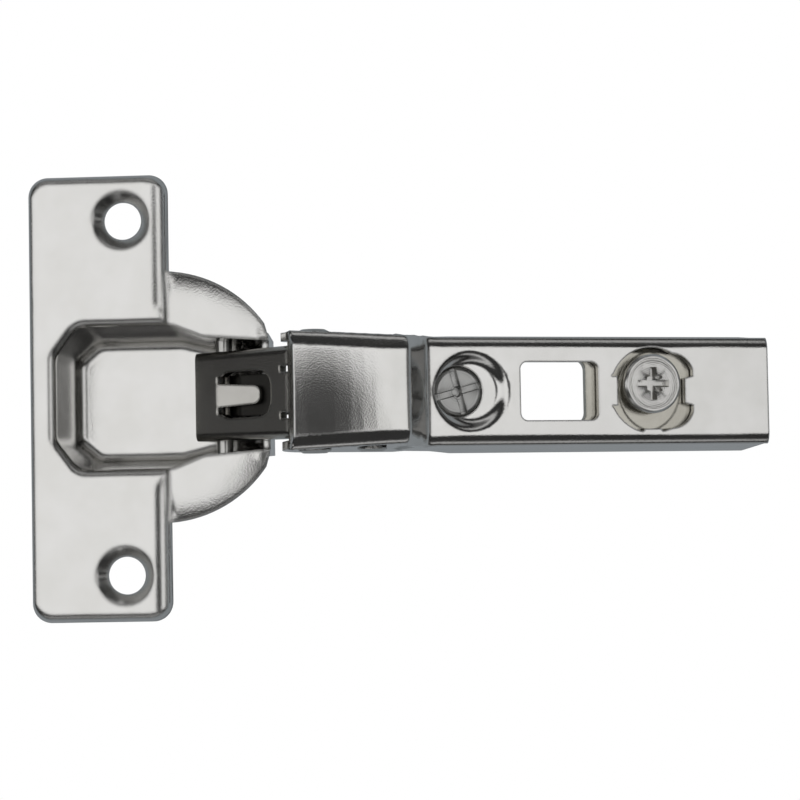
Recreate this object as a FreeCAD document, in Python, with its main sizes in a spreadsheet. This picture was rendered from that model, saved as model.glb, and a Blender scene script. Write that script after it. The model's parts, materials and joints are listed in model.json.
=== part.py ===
import FreeCAD
import Part
import Sketcher
import math
import os

# Concealed cabinet hinge with a 35 mm cup and a cranked arm, opened to 110 degrees.
# The origin is on the cup's axis in the plane of the door's face, +Z stands out of the
# door and +X points to the arm. All lengths are in millimetres, all angles in degrees.

Vector = FreeCAD.Vector
Placement = FreeCAD.Placement
Rotation = FreeCAD.Rotation
Y_AXIS = Vector(0, 1, 0)

doc = FreeCAD.newDocument("CrankedHinge")
sheet = doc.addObject("Spreadsheet::Sheet", "Sizes")

# The driving sizes: alias, value, what it is.
ROWS = [
    ("gap_running", 0.05, "radial clearance of a pin in an eye that turns on it"),
    ("gap_slide", 0.3, "clearance between pieces that slide on each other"),
    # cup
    ("cup_sheet", 1.0, "steel of the cup"),
    ("cup_flange_left", 19.6, "from the cup's axis to the flange's far edge"),
    ("cup_flange_right", 1.2, "from the cup's axis to the flange's edge beside the wing"),
    ("cup_flange_half", 32.75, "half length of the flange"),
    ("cup_flange_rise", 2.0, "top of the flange above the door's face"),
    ("cup_flange_draft", 14.0, "lean of the flange's rim"),
    ("cup_flange_corner", 3.0, "corner radius of the flange"),
    ("cup_flange_bend", 1.0, "rounding of the flange's upper edge"),
    ("cup_wing_radius", 18.45, "radius of the half disc beside the flange"),
    ("cup_wing_reach", 15.9, "where the half disc is cut off"),
    ("cup_wing_tip_drop", 0.7, "how far the corner of the cut falls back"),
    ("cup_wing_tip_half", 10.4, "half width of the cut"),
    ("cup_depth", 12.8, "depth of the cup below the door's face"),
    ("cup_well_left", 15.6, "inside of the far wall from the cup's axis"),
    ("cup_well_left_half", 6.2, "half width of the far wall"),
    ("cup_well_half", 10.6, "half width of the well at the mouth"),
    ("cup_well_chamfer", 3.2, "length of the slanted corner along X"),
    ("cup_well_shoulder", 1.6, "where the well starts to narrow"),
    ("cup_well_neck", 6.2, "where the channel for the links starts"),
    ("cup_neck_half", 8.7, "half width of the channel at its start"),
    ("cup_channel_half", 8.0, "half width of the channel at the wing's end"),
    ("cup_channel_end", 14.8, "inside of the channel's end wall"),
    ("cup_sill", 1.3, "depth of the channel's end wall below the door's face"),
    ("cup_floor_in", 1.0, "how much closer the walls are along X at the floor"),
    ("cup_floor_narrow", 1.8, "how much narrower the well is on each side at the floor"),
    ("cup_channel_narrow", 0.5, "how much narrower the channel is on each side at the floor"),
    ("cup_mouth_bend", 1.2, "rounding of the well's mouth"),
    ("cup_floor_bend", 1.4, "rounding round the floor"),
    ("cup_corner_bend", 2.6, "rounding of the well's upright corners"),
    ("screw_hole_x", -5.5, "line of the two fixing holes from the cup's axis"),
    ("screw_hole_pitch", 52.0, "distance of the two fixing holes"),
    ("screw_hole_radius", 2.75, "fixing hole"),
    ("screw_sink_radius", 4.25, "countersink at the top"),
    ("screw_dimple_wall", 1.0, "steel round the pressed countersink"),
    # four-bar linkage, X and Z of each pivot with the hinge at 110 degrees
    ("outer_cup_x", 9.0, "cup pin of the outer link"),
    ("outer_cup_z", -8.6, "cup pin of the outer link"),
    ("inner_cup_x", 8.5, "cup pin of the inner link"),
    ("inner_cup_z", -4.2, "cup pin of the inner link"),
    ("arm_front_x", 23.0, "front pin of the arm"),
    ("arm_front_z", 6.0, "front pin of the arm"),
    ("arm_pin_spacing", 8.5, "rear pin behind the front pin"),
    ("arm_fall", 20.0, "fall of the arm below the door's face at 110 degrees"),
    ("inner_eye_shift_x", -0.11, "open pivot: eye centre from the rear pin"),
    ("inner_eye_shift_z", -0.42, "open pivot: eye centre from the rear pin"),
    ("inner_eye_play", 0.6, "open pivot: radial clearance of the eye"),
    ("outer_pin_radius", 1.5, "cup pin of the outer link"),
    ("inner_pin_radius", 1.25, "cup pin of the inner link"),
    ("cup_pin_head_radius", 2.2, "heads of the cup pins"),
    ("cup_pin_head", 0.6, "thickness of the cup pins' heads"),
    # outer link
    ("link_sheet", 1.2, "steel of the outer link"),
    ("link_half_low", 6.5, "half width at the cup"),
    ("link_half_high", 6.7, "half width at the arm"),
    ("link_back_low", 7.5, "back of the link from the pivot line at the cup"),
    ("link_back_high", 3.6, "back of the link from the pivot line at the arm"),
    ("link_back_start", 1.3, "start of the back plate along the pivot line"),
    ("link_back_gap", 2.2, "end of the back plate before the arm's pin"),
    ("link_eye_low", 2.9, "eye radius at the cup"),
    ("link_eye_high", 2.8, "eye radius at the arm"),
    ("link_waist", 1.6, "lower edge of the flanges above the pivot line"),
    ("link_slot_room", 0.2, "room round the other cup pin, which the flanges pass"),
    ("link_bend", 1.1, "rounding along the folds"),
    ("link_window_start", 4.1, "window from the back plate's lower end"),
    ("link_window_length", 10.0, "window in the back plate"),
    ("link_window_half", 3.35, "half width of the window"),
    ("link_window_corner", 2.4, "corner radius of the window"),
    ("link_notch_at", 3.35, "notches in the upper edge, from the middle"),
    ("link_notch_half", 0.45, "half width of the notches"),
    ("link_notch_depth", 0.9, "depth of the notches"),
    ("tongue_half", 1.75, "half width of the lanced tongue"),
    ("tongue_taper", 0.5, "how much the tongue narrows on each side"),
    ("tongue_length", 6.9, "length of the tongue"),
    ("tongue_dip", 14.0, "slope of the tongue against the back plate"),
    ("tongue_sheet", 0.8, "thickness of the tongue"),
    ("tongue_corner", 1.1, "rounded corners of the tongue"),
    # inner link
    ("strip_half", 3.0, "half width of the inner link"),
    ("strip_thick", 1.3, "steel of the inner link"),
    ("strip_eye_low", 2.4, "eye radius at the cup"),
    ("strip_wall_high", 1.2, "wall of the eye at the arm"),
    ("strip_hump", 2.4, "height of the hump that clears the door's edge"),
    # arm
    ("arm_sheet", 1.2, "steel of the arm"),
    ("arm_length", 70.6, "from the front pin to the arm's end"),
    ("arm_front_reach", 4.5, "from the front pin to the nose's edge"),
    ("arm_nose_top", 5.6, "top of the nose above the pins"),
    ("arm_nose_end", 12.8, "where the crank starts"),
    ("arm_nose_radius", 75.0, "curve of the nose along the arm"),
    ("arm_crank_end", 17.1, "where the crank ends"),
    ("arm_rear_top", -0.6, "top of the rear web against the pins"),
    ("arm_nose_foot", -4.5, "lower edge of the nose's walls"),
    ("arm_rear_foot", -9.8, "lower edge of the rear walls"),
    ("arm_foot_start", 14.5, "where the lower edge starts to fall"),
    ("arm_foot_end", 23.0, "where the lower edge is level again"),
    ("arm_half_front", 8.45, "half width at the pins' level, front"),
    ("arm_flare_front", 0.032, "flare of the walls, front"),
    ("arm_half_crank", 8.1, "half width at the pins' level, crank"),
    ("arm_flare_crank", 0.12, "flare of the walls, crank"),
    ("arm_half_rear", 7.7, "half width at the pins' level, rear"),
    ("arm_flare_rear", 0.106, "flare of the walls, rear"),
    ("arm_bend", 0.9, "rounding along the rear folds"),
    ("arm_crank_bend", 1.3, "rounding across the crank"),
    ("arm_end_bulge", 60.0, "radius of the arm's rounded end in plan"),
    ("arm_pin_radius", 1.5, "shanks of the arm's pins"),
    ("front_head_radius", 2.4, "heads of the front pin"),
    ("rear_head_radius", 2.15, "head of the rear pin"),
    ("arm_pin_head", 0.55, "height of the pins' heads"),
    ("window_start", 31.4, "window in the rear web from the front pin"),
    ("window_length", 12.1, "window along the arm"),
    ("window_half", 4.3, "half width of the window"),
    ("window_corner", 1.1, "corner radius of the window"),
    # overlay screw
    ("overlay_at", 22.0, "overlay screw from the front pin"),
    ("overlay_radius", 3.5, "thread of the overlay screw"),
    ("overlay_sink", 0.35, "top of the screw below the web's face"),
    ("overlay_thread", 5.2, "length of the thread"),
    ("overlay_neck_radius", 1.6, "neck under the thread"),
    ("overlay_neck", 1.9, "length of the neck"),
    ("overlay_foot_radius", 2.6, "foot held by the base"),
    ("overlay_foot", 1.0, "thickness of the foot"),
    ("overlay_slot", 1.0, "width of the driver slots"),
    ("overlay_slot_depth", 1.0, "depth of the driver slots"),
    ("overlay_bore_radius", 1.0, "hole in the middle of the screw"),
    ("overlay_turn", 15.0, "turn of the driver slots"),
    ("overlay_hole_radius", 3.75, "hole round the screw's top"),
    ("dimple_at", 23.8, "middle of the dimple from the front pin"),
    ("dimple_radius", 6.1, "dimple round the screw"),
    ("dimple_floor_radius", 3.9, "floor of the dimple"),
    ("dimple_depth", 0.95, "depth of the dimple"),
    ("dimple_curve", 2.0, "radius of the dimple's rounded slope"),
    ("collar_radius", 4.6, "threaded collar under the web"),
    ("collar_length", 1.6, "length of the collar below the web"),
    # depth cam and its opening
    ("cam_at", 51.7, "axis of the cam from the front pin"),
    ("cam_side", 0.5, "axis of the cam beside the arm's middle"),
    ("cam_head_radius", 4.4, "head of the cam"),
    ("cam_head", 1.2, "thickness of the head"),
    ("cam_head_shift", 0.5, "how far the head stands off the axis"),
    ("cam_disc_radius", 3.6, "disc between the arm's tabs"),
    ("cam_shaft_radius", 2.0, "shaft through the base"),
    ("cam_rivet_radius", 2.9, "riveted end under the base"),
    ("cam_rivet", 0.8, "thickness of the riveted end"),
    ("cam_recess_half", 2.25, "half length of the cross recess"),
    ("cam_recess_wide", 0.6, "half width of the cross recess"),
    ("cam_recess_depth", 1.6, "depth of the cross recess"),
    ("opening_at", 52.0, "middle of the rear opening from the front pin"),
    ("opening_radius", 6.45, "rear opening"),
    ("opening_ear", 6.5, "reach of the opening's two ears"),
    ("opening_ear_length", 0.8, "straight edge of the ears"),
    ("opening_barb", 0.35, "small relief cuts beside the tabs"),
    ("opening_bump", 1.6, "half length of the straight step in the lower edge"),
    ("opening_bump_height", 0.8, "height of that step"),
    ("tab_gap_left", 5.45, "left tab from the opening's middle"),
    ("tab_gap_right", 5.2, "right tab from the opening's middle"),
    ("tab_half", 2.2, "half width of the tabs"),
    # base that slides in the arm
    ("base_sheet", 1.2, "steel of the base"),
    ("base_half", 6.1, "half width of the base"),
    ("base_start", 18.2, "front end of the base"),
    ("base_end", 66.5, "rear end of the base"),
    ("base_foot", -9.3, "lower edge of the base's flanges"),
    ("base_front_top", -6.5, "top of the lowered front web"),
    ("base_step_start", 28.2, "where the web rises"),
    ("base_step_end", 30.4, "where the web is level again"),
    ("base_bend", 0.9, "rounding along the folds"),
    ("base_window_start", 31.0, "window in the base"),
    ("base_window_length", 11.0, "window in the base"),
    ("base_land_half_u", 4.8, "oval land under the cam, along the arm"),
    ("base_land_half_y", 5.5, "oval land under the cam, across the arm"),
    ("base_land_rise", 0.15, "height of the oval land"),
    ("base_hook_at", 34.0, "notch for the mounting plate's front pins"),
    ("base_hook_radius", 1.6, "notch for the mounting plate's front pins"),
    # release lever
    ("lever_pin_at", 61.0, "lever pin from the front pin"),
    ("lever_pin_drop", -6.2, "lever pin against the pins' level"),
    ("lever_pin_radius", 1.0, "lever pin"),
    ("lever_half", 4.6, "half width of the lever"),
    ("lever_sheet", 1.0, "steel of the lever"),
    ("lever_end", 69.4, "end of the finger tab"),
    ("lever_front", 57.6, "front end of the lever's hook"),
    ("lever_top", -4.1, "top of the lever"),
    ("lever_foot", -10.6, "lower end of the lever's hook"),
    ("lever_slot_half", 2.2, "half width of the opening over the lever's spring"),
    ("lever_slot_end", 3.8, "end of that opening past the lever's pin"),
    # springs
    ("spring_wire", 0.4, "wire radius of the closing spring"),
    ("spring_coil", 1.85, "coil radius of the closing spring"),
    ("spring_pitch", 0.95, "pitch of its coils"),
    ("spring_turns", 1.25, "turns on each side"),
    ("clip_wire", 0.3, "wire radius of the lever's spring"),
    ("clip_coil", 1.45, "coil radius of the lever's spring"),
    ("clip_turns", 4.0, "turns of the lever's spring"),
]


def text_of(value):
    return f"({value.text})" if isinstance(value, Size) else repr(float(value))


def number(value):
    return value.value if isinstance(value, Size) else float(value)


class Size:
    """A length that carries its value and the sheet expression that gives it."""

    def __init__(self, value, text):
        self.value = value
        self.text = text

    def __add__(self, other):
        return Size(self.value + number(other), f"{text_of(self)} + {text_of(other)}")

    def __radd__(self, other):
        return Size(number(other) + self.value, f"{text_of(other)} + {text_of(self)}")

    def __sub__(self, other):
        return Size(self.value - number(other), f"{text_of(self)} - {text_of(other)}")

    def __rsub__(self, other):
        return Size(number(other) - self.value, f"{text_of(other)} - {text_of(self)}")

    def __mul__(self, other):
        return Size(self.value * number(other), f"{text_of(self)} * {text_of(other)}")

    __rmul__ = __mul__

    def __truediv__(self, other):
        return Size(self.value / number(other), f"{text_of(self)} / {text_of(other)}")

    def __neg__(self):
        return Size(-self.value, f"-{text_of(self)}")


class Sheet:
    """The sizes of the sheet, each under its own name."""


S = Sheet()
for row, (alias, value, note) in enumerate(ROWS, start=1):
    sheet.set(f"A{row}", alias)
    sheet.set(f"B{row}", str(value))
    sheet.set(f"C{row}", note)
    sheet.setAlias(f"B{row}", alias)
    setattr(S, alias, Size(value, f"Sizes.{alias}"))
doc.recompute()


def bind(owner, name, value):
    """Give a property its value, tied to the sheet where the value comes from there."""
    setattr(owner, name, number(value))
    if isinstance(value, Size):
        owner.setExpression(name, value.text)


class Arc:
    """A round stretch of an outline, from the point before it to this end point."""

    def __init__(self, x, y, radius, turn):
        self.end = (x, y)
        self.radius = radius
        self.turn = turn


def arc_geometry(start, end, radius, turn):
    """The arc of a radius between two points; turn 1 runs counter-clockwise, -1 clockwise."""
    middle = (start + end) * 0.5
    chord = end - start
    rise = math.sqrt(max(radius ** 2 - (chord.Length / 2) ** 2, 0.0))
    side = Vector(-chord.y, chord.x, 0).normalize() * turn
    centre = middle + side * rise
    first = math.atan2(start.y - centre.y, start.x - centre.x)
    last = math.atan2(end.y - centre.y, end.x - centre.x)
    circle = Part.Circle(centre, Vector(0, 0, 1), radius)
    if turn > 0:
        return Part.ArcOfCircle(circle, first, last if last > first else last + 2 * math.pi)
    return Part.ArcOfCircle(circle, last, first if first > last else first + 2 * math.pi)


def pin_point(sketch, geometry, end, x, y):
    """Hold a point of a sketch at x and y, both tied to the sheet."""
    for kind, value in (("DistanceX", x), ("DistanceY", y)):
        if abs(number(value)) < 1e-9 and not isinstance(value, Size):
            axis = -2 if kind == "DistanceX" else -1
            sketch.addConstraint(Sketcher.Constraint("PointOnObject", geometry, end, axis))
            continue
        index = sketch.addConstraint(Sketcher.Constraint(kind, -1, 1, geometry, end, number(value)))
        if isinstance(value, Size):
            sketch.setExpression(f"Constraints[{index}]", value.text)


def draw_loop(sketch, loop):
    """Draw a closed outline of points and arcs; each corner is held by the sheet's sizes."""
    corners = [item.end if isinstance(item, Arc) else item for item in loop]
    points = [Vector(number(x), number(y), 0) for x, y in corners]
    ends = []
    for index, item in enumerate(loop):
        start, end = points[index - 1], points[index]
        if isinstance(item, Arc):
            shape = arc_geometry(start, end, number(item.radius), item.turn)
            geometry = sketch.addGeometry(shape)
            ends.append((geometry, 1, 2) if item.turn > 0 else (geometry, 2, 1))
        else:
            geometry = sketch.addGeometry(Part.LineSegment(start, end))
            ends.append((geometry, 1, 2))
    for index, (geometry, first, last) in enumerate(ends):
        following = ends[(index + 1) % len(ends)]
        sketch.addConstraint(Sketcher.Constraint("Coincident", geometry, last, following[0], following[1]))
        pin_point(sketch, geometry, last, *corners[index])
        item = loop[index]
        if isinstance(item, Arc):
            radius = sketch.addConstraint(Sketcher.Constraint("Radius", geometry, number(item.radius)))
            if isinstance(item.radius, Size):
                sketch.setExpression(f"Constraints[{radius}]", item.radius.text)


def rectangle(x0, y0, x1, y1):
    return [(x0, y0), (x1, y0), (x1, y1), (x0, y1)]


class Piece:
    """One physical piece: a body built from sketches on its own planes."""

    def __init__(self, name, place=None):
        self.body = doc.addObject("PartDesign::Body", name)
        self.body.Label = name
        self.name = name
        self.count = 0
        if place is not None:
            self.body.Placement = place

    def feature(self, kind, label):
        self.count += 1
        return self.body.newObject(kind, f"{self.name}_{label}_{self.count}")

    def sketch(self, plane, loops=(), circles=(), lift=0.0, slide=None):
        """A sketch on one of the body's planes, lifted off it; slide moves its own origin."""
        sketch = self.feature("Sketcher::SketchObject", "sketch")
        planes = [item for item in self.body.Origin.OriginFeatures if item.Role == plane]
        sketch.AttachmentSupport = [(planes[0], "")]
        sketch.MapMode = "FlatFace"
        shift = slide or (0.0, 0.0)
        sketch.AttachmentOffset = Placement(
            Vector(number(shift[0]), number(shift[1]), number(lift)), Rotation())
        for name, value in (("x", shift[0]), ("y", shift[1]), ("z", lift)):
            if isinstance(value, Size):
                sketch.setExpression(f"AttachmentOffset.Base.{name}", value.text)
        for loop in loops:
            draw_loop(sketch, loop)
        for x, y, radius in circles:
            centre = Vector(number(x), number(y), 0)
            circle = sketch.addGeometry(Part.Circle(centre, Vector(0, 0, 1), number(radius)))
            pin_point(sketch, circle, 3, x, y)
            index = sketch.addConstraint(Sketcher.Constraint("Radius", circle, number(radius)))
            if isinstance(radius, Size):
                sketch.setExpression(f"Constraints[{index}]", radius.text)
        return sketch

    def checked(self, feature, adds):
        """Recompute and make sure that the feature added or removed material."""
        before = feature.BaseFeature.Shape.Volume if feature.BaseFeature else 0.0
        doc.recompute()
        if not feature.isValid():
            raise RuntimeError(f"{feature.Name} failed: {feature.getStatusString()}")
        change = feature.Shape.Volume - before
        if change * adds <= 0:
            raise RuntimeError(f"{feature.Name} changes nothing")
        return feature

    def pad(self, sketch, length, symmetric=False, taper=None):
        pad = self.feature("PartDesign::Pad", "pad")
        pad.Profile = sketch
        bind(pad, "Length", length)
        if symmetric:
            pad.SideType = "Symmetric"
        if taper is not None:
            bind(pad, "TaperAngle", taper)
        return self.checked(pad, 1)

    def pocket(self, sketch, length, symmetric=False, upward=False, taper=None):
        pocket = self.feature("PartDesign::Pocket", "pocket")
        pocket.Profile = sketch
        bind(pocket, "Length", length)
        pocket.Reversed = upward
        if symmetric:
            pocket.SideType = "Symmetric"
        if taper is not None:
            bind(pocket, "TaperAngle", taper)
        return self.checked(pocket, -1)

    def loft(self, sketches, cut=False):
        kind = "PartDesign::SubtractiveLoft" if cut else "PartDesign::AdditiveLoft"
        loft = self.feature(kind, "loft")
        loft.Profile = sketches[0]
        loft.Sections = [(sketch, [""]) for sketch in sketches[1:]]
        loft.Ruled = True
        return self.checked(loft, -1 if cut else 1)

    def revolve(self, sketch, cut=False):
        """Turn a sketch a full turn round its own vertical axis."""
        kind = "PartDesign::Groove" if cut else "PartDesign::Revolution"
        turned = self.feature(kind, "turned")
        turned.Profile = sketch
        turned.ReferenceAxis = (sketch, ["V_Axis"])
        turned.Angle = 360.0
        return self.checked(turned, -1 if cut else 1)

    def fillet(self, radius, test):
        """Round each edge that the test picks."""
        tip = self.body.Tip
        names = [f"Edge{index}" for index, edge in enumerate(tip.Shape.Edges, start=1) if test(edge)]
        if not names:
            raise RuntimeError(f"{self.name}: no edge to round")
        fillet = self.feature("PartDesign::Fillet", "fillet")
        fillet.Base = (tip, names)
        bind(fillet, "Radius", radius)
        doc.recompute()
        if not fillet.isValid():
            raise RuntimeError(f"{fillet.Name} failed: {fillet.getStatusString()}")
        return fillet


def direction(edge):
    """Unit vector from an edge's first end to its last."""
    first, last = edge.Vertexes[0].Point, edge.Vertexes[-1].Point
    step = last - first
    return step.normalize() if step.Length > 1e-9 else Vector(0, 0, 0)


def middle(edge):
    return edge.CenterOfMass


def along(edge, axis, least=0.97):
    return abs(direction(edge).dot(axis)) > least


X_DIR, Y_DIR, Z_DIR = Vector(1, 0, 0), Vector(0, 1, 0), Vector(0, 0, 1)


# Frames of the linkage

outer_cup = Vector(S.outer_cup_x.value, 0, S.outer_cup_z.value)
inner_cup = Vector(S.inner_cup_x.value, 0, S.inner_cup_z.value)
arm_front = Vector(S.arm_front_x.value, 0, S.arm_front_z.value)
arm_turn = Rotation(Y_AXIS, S.arm_fall.value)
arm_place = Placement(arm_front, arm_turn)
arm_rear = arm_place.multVec(Vector(S.arm_pin_spacing.value, 0, 0))
inner_eye = arm_rear + Vector(S.inner_eye_shift_x.value, 0, S.inner_eye_shift_z.value)


def bar_place(start, end):
    """A frame at start with its X axis along the bar to end."""
    angle = math.degrees(math.atan2(end.z - start.z, end.x - start.x))
    return Placement(start, Rotation(Y_AXIS, -angle))


outer_place = bar_place(outer_cup, arm_front)
inner_place = bar_place(inner_cup, inner_eye)
outer_span = (arm_front - outer_cup).Length
inner_span = (inner_eye - inner_cup).Length


def arm_half(u, w):
    """Half width of the arm's walls at a place along it and a height."""
    front = (-S.arm_front_reach.value - 1.5, S.arm_half_front.value, S.arm_flare_front.value)
    crank = (S.arm_nose_end.value, S.arm_half_crank.value, S.arm_flare_crank.value)
    rear = (S.arm_crank_end.value + 2.0, S.arm_half_rear.value, S.arm_flare_rear.value)
    for (u0, half0, flare0), (u1, half1, flare1) in ((front, crank), (crank, rear)):
        if u <= u1:
            share = (u - u0) / (u1 - u0)
            flare = flare0 + (flare1 - flare0) * share
            return half0 + (half1 - half0) * share - flare * w
    return rear[1] - rear[2] * w


# Cup

def well_loop(inset, narrow, channel_narrow, grow):
    """Outline of the well at one level: drawn in by the draft, grown by the wall."""
    left = -(S.cup_well_left - inset) - grow
    left_half = S.cup_well_left_half + grow * 0.4
    half = S.cup_well_half - narrow + grow
    bevel = -(S.cup_well_left - inset) + S.cup_well_chamfer - grow * 0.4
    shoulder = S.cup_well_shoulder - inset * 0.4
    neck = S.cup_well_neck - inset * 0.4
    neck_half = S.cup_neck_half - narrow * 0.55 + grow
    end = S.cup_channel_end - inset * 0.8 + grow
    end_half = S.cup_channel_half - channel_narrow + grow
    lower = [(left, -left_half), (bevel, -half), (shoulder, -half), (neck, -neck_half), (end, -end_half)]
    upper = [(x, -y) for x, y in reversed(lower)]
    return lower + upper


def make_cup():
    cup = Piece("hinge_cup")
    sheet_steel = S.cup_sheet
    wing_x = S.cup_wing_reach - S.cup_wing_tip_drop
    far = S.cup_wing_radius + 5.0
    cup.pad(cup.sketch("XY_Plane", circles=[(0, 0, S.cup_wing_radius)]), sheet_steel)
    tip = [(S.cup_wing_reach, -S.cup_channel_half), (S.cup_wing_reach, S.cup_channel_half),
           (wing_x, S.cup_wing_tip_half), (wing_x, far), (far, far), (far, -far), (wing_x, -far),
           (wing_x, -S.cup_wing_tip_half)]
    cup.pocket(cup.sketch("XY_Plane", [tip]), sheet_steel, upward=True)

    flange = rectangle(-S.cup_flange_left, -S.cup_flange_half, S.cup_flange_right, S.cup_flange_half)
    cup.pad(cup.sketch("XY_Plane", [flange]), S.cup_flange_rise, taper=-S.cup_flange_draft)
    outer_y = S.cup_flange_half.value
    cup.fillet(S.cup_flange_corner, lambda edge: abs(middle(edge).y) > outer_y - 1.0
               and not along(edge, X_DIR) and not along(edge, Y_DIR))
    rise = S.cup_flange_rise.value
    cup.fillet(S.cup_flange_bend, lambda edge: abs(middle(edge).z - rise) < 1e-4)
    hollow = rectangle(-S.cup_flange_left + sheet_steel, -S.cup_flange_half + sheet_steel,
                       S.cup_flange_right - sheet_steel, S.cup_flange_half - sheet_steel)
    cup.pocket(cup.sketch("XY_Plane", [hollow]), S.cup_flange_rise - sheet_steel,
               upward=True, taper=-S.cup_flange_draft)

    # the well: its outside hangs from the underside of the flange, its inside opens at the top
    block = rectangle(-S.cup_flange_right, -S.cup_wing_radius, far, S.cup_wing_radius)
    cup.pad(cup.sketch("XY_Plane", [block], lift=sheet_steel), S.cup_flange_rise - sheet_steel)
    floor_loop = well_loop(S.cup_floor_in, S.cup_floor_narrow, S.cup_channel_narrow, sheet_steel)
    cup.loft([
        cup.sketch("XY_Plane", [well_loop(0.0, 0.0, 0.0, sheet_steel)], lift=sheet_steel),
        cup.sketch("XY_Plane", [floor_loop], lift=-S.cup_depth)])
    upright = S.cup_well_shoulder.value + 1.0
    cup.fillet(S.cup_corner_bend + sheet_steel, lambda edge: along(edge, Z_DIR, 0.9)
               and edge.Length > 8.0 and middle(edge).x < upright)
    cup.fillet(S.cup_floor_bend + sheet_steel * 0.5,
               lambda edge: abs(middle(edge).z + S.cup_depth.value) < 1e-4)
    cup.loft([
        cup.sketch("XY_Plane", [well_loop(0.0, 0.0, 0.0, 0.0)], lift=S.cup_flange_rise),
        cup.sketch("XY_Plane", [well_loop(S.cup_floor_in, S.cup_floor_narrow, S.cup_channel_narrow, 0.0)],
                   lift=sheet_steel - S.cup_depth)], cut=True)
    inner_floor = sheet_steel.value - S.cup_depth.value
    cup.fillet(S.cup_corner_bend, lambda edge: along(edge, Z_DIR, 0.9) and edge.Length > 11.0
               and middle(edge).x < upright and edge.BoundBox.ZMax > 1.9)
    cup.fillet(S.cup_floor_bend, lambda edge: abs(middle(edge).z - inner_floor) < 1e-4)

    # the mouth is rounded on a block beside the flange, which is then cut back to the wing
    inner_half = S.cup_well_half.value
    cup.fillet(S.cup_mouth_bend, lambda edge: abs(middle(edge).z - rise) < 1e-4
               and abs(middle(edge).y) < inner_half + 0.6 and middle(edge).x > -S.cup_well_left.value - 0.5
               and middle(edge).x < S.cup_channel_end.value + 0.5)
    lean = math.tan(math.radians(S.cup_flange_draft.value))
    rim = S.cup_flange_right - lean * S.cup_flange_rise
    run = S.cup_flange_bend * math.tan(math.radians(45.0 - S.cup_flange_draft.value / 2))
    tilt = math.radians(S.cup_flange_draft.value)
    wing_top = [
        (rim + math.sin(tilt) * run, S.cup_flange_rise - math.cos(tilt) * run),
        (S.cup_flange_right - lean * sheet_steel, sheet_steel), (far, sheet_steel), (far, far),
        (rim - run, far), (rim - run, S.cup_flange_rise)]
    wing_top[0] = Arc(*wing_top[0], S.cup_flange_bend, -1)
    cup.pocket(cup.sketch("XZ_Plane", [wing_top]), 2 * S.cup_wing_radius, symmetric=True)

    # the links leave over the sill at the channel's end
    sill = rectangle(S.cup_channel_end - sheet_steel, -S.cup_channel_half,
                     S.cup_wing_radius, S.cup_channel_half)
    cup.pocket(cup.sketch("XY_Plane", [sill], lift=-S.cup_sill), S.cup_sill + 2 * sheet_steel, upward=True)

    # two countersunk dimples for the fixing screws
    for side in (-1, 1):
        centre = (S.screw_hole_x, S.screw_hole_pitch / 2 * side)
        place = {"lift": -centre[1], "slide": (centre[0], 0.0)}
        wall = S.screw_dimple_wall
        under = S.cup_flange_rise - sheet_steel
        boss = [(0.0, 0.0), (S.screw_hole_radius + wall, 0.0),
                (S.screw_sink_radius + wall, under), (0.0, under)]
        cup.revolve(cup.sketch("XZ_Plane", [boss], **place))
        slant = S.screw_sink_radius - S.screw_hole_radius
        sink = [(0.0, -1.0), (S.screw_hole_radius, -1.0), (S.screw_hole_radius, S.cup_flange_rise - slant),
                (S.screw_sink_radius, S.cup_flange_rise), (S.screw_sink_radius, S.cup_flange_rise + 1.0),
                (0.0, S.cup_flange_rise + 1.0)]
        cup.revolve(cup.sketch("XZ_Plane", [sink], **place), cut=True)

    # bores for the two cup pins
    bores = [(S.outer_cup_x, S.outer_cup_z, S.outer_pin_radius),
             (S.inner_cup_x, S.inner_cup_z, S.inner_pin_radius)]
    cup.pocket(cup.sketch("XZ_Plane", circles=bores), 4 * S.cup_well_half, symmetric=True)
    return cup


def make_cup_pin(name, centre, radius):
    """A straight pin across the cup's channel with a flat head outside each wall."""
    pin = Piece(name, Placement(centre, Rotation(X_DIR, -90)))
    seat = S.cup_neck_half + S.cup_sheet
    half = seat + S.cup_pin_head
    pin.pad(pin.sketch("XY_Plane", circles=[(0, 0, radius)], lift=-half), 2 * half)
    for side in (-1, 1):
        low = seat if side > 0 else -half
        pin.pad(pin.sketch("XY_Plane", circles=[(0, 0, S.cup_pin_head_radius)], lift=low), S.cup_pin_head)
    return pin


# Outer link

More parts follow.
